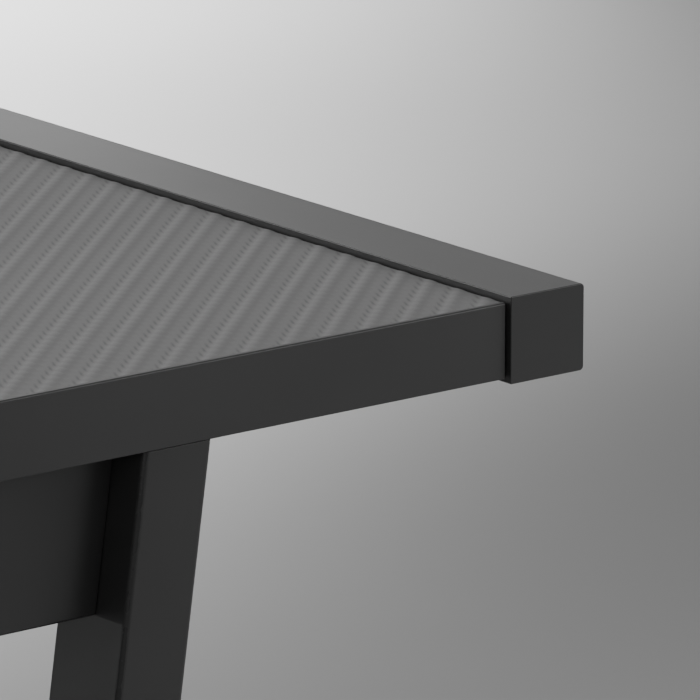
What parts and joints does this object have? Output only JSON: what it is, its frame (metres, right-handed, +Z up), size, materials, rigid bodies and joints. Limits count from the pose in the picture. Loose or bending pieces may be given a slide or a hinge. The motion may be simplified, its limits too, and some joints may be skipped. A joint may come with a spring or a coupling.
{
  "type": "corner desk",
  "caption": "L-shaped corner desk with twill-textured tops, steel end rails, slanted tube legs and levelling feet.",
  "frame": {"origin": "floor level under the middle of the desk's outline", "axes": "+X along the long wing towards its free end rail, +Y to the rear edge, +Z up"},
  "size_m": [1.4, 1.2, 0.7525],
  "materials": {
    "twill": "dark grey laminate embossed with a 2/2 twill, satin",
    "edge": "charcoal edge banding, satin",
    "steel": "charcoal fine-grained powder coat, satin",
    "board": "particle board with a black backing sheet, matt",
    "dowel": "fluted beech, unfinished",
    "bolt": "black oxide",
    "zinc": "bright zinc plate",
    "plastic": "black moulded nylon",
    "rubber": "black rubber, matt"
  },
  "bodies": {
    "frame": {"corner_cross_tube": "steel", "corner_front_bolt_lower": "bolt", "corner_front_bolt_upper": "bolt", "corner_front_leg": "steel", "corner_front_plug": "plastic", "corner_rear_bolt_lower": "bolt", "corner_rear_bolt_upper": "bolt", "corner_rear_leg": "steel", "corner_rear_plug": "plastic", "main_board": "board", "main_front_beam": "steel", "main_front_edge_band": "edge", "main_left_edge_band": "edge", "main_rear_beam": "steel", "main_rear_edge_band": "edge", "main_twill_skin": "twill", "return_board": "board", "return_cross_tube": "steel", "return_end_rail": "steel", "return_inner_beam": "steel", "return_inner_bolt_lower": "bolt", "return_inner_bolt_upper": "bolt", "return_inner_edge_band": "edge", "return_inner_leg": "steel", "return_inner_plug": "plastic", "return_outer_beam": "steel", "return_outer_bolt_lower": "bolt", "return_outer_bolt_upper": "bolt", "return_outer_edge_band": "edge", "return_outer_leg": "steel", "return_outer_plug": "plastic", "return_twill_skin": "twill", "right_cross_tube": "steel", "right_end_rail": "steel", "right_front_bolt_lower": "bolt", "right_front_bolt_upper": "bolt", "right_front_leg": "steel", "right_front_plug": "plastic", "right_rear_bolt_lower": "bolt", "right_rear_bolt_upper": "bolt", "right_rear_leg": "steel", "right_rear_plug": "plastic", "seam_dowel_1": "dowel", "seam_dowel_2": "dowel", "seam_dowel_3": "dowel", "seam_inner_bolt_lower": "bolt", "seam_inner_bolt_upper": "bolt", "seam_outer_bolt": "bolt"},
    "right_front_foot": {"right_front_stud": "zinc", "right_front_pad": "rubber"},
    "right_rear_foot": {"right_rear_stud": "zinc", "right_rear_pad": "rubber"},
    "corner_front_foot": {"corner_front_stud": "zinc", "corner_front_pad": "rubber"},
    "corner_rear_foot": {"corner_rear_stud": "zinc", "corner_rear_pad": "rubber"},
    "return_outer_foot": {"return_outer_stud": "zinc", "return_outer_pad": "rubber"},
    "return_inner_foot": {"return_inner_stud": "zinc", "return_inner_pad": "rubber"}
  },
  "joints": [
    {"name": "right_front_foot_height", "type": "slide", "parent": "frame", "child": "right_front_foot", "axis": [0, 0, -1], "range_m": [0, 0.012]},
    {"name": "right_rear_foot_height", "type": "slide", "parent": "frame", "child": "right_rear_foot", "axis": [0, 0, -1], "range_m": [0, 0.012]},
    {"name": "corner_front_foot_height", "type": "slide", "parent": "frame", "child": "corner_front_foot", "axis": [0, 0, -1], "range_m": [0, 0.012]},
    {"name": "corner_rear_foot_height", "type": "slide", "parent": "frame", "child": "corner_rear_foot", "axis": [0, 0, -1], "range_m": [0, 0.012]},
    {"name": "return_outer_foot_height", "type": "slide", "parent": "frame", "child": "return_outer_foot", "axis": [0, 0, -1], "range_m": [0, 0.012]},
    {"name": "return_inner_foot_height", "type": "slide", "parent": "frame", "child": "return_inner_foot", "axis": [0, 0, -1], "range_m": [0, 0.012]}
  ]
}
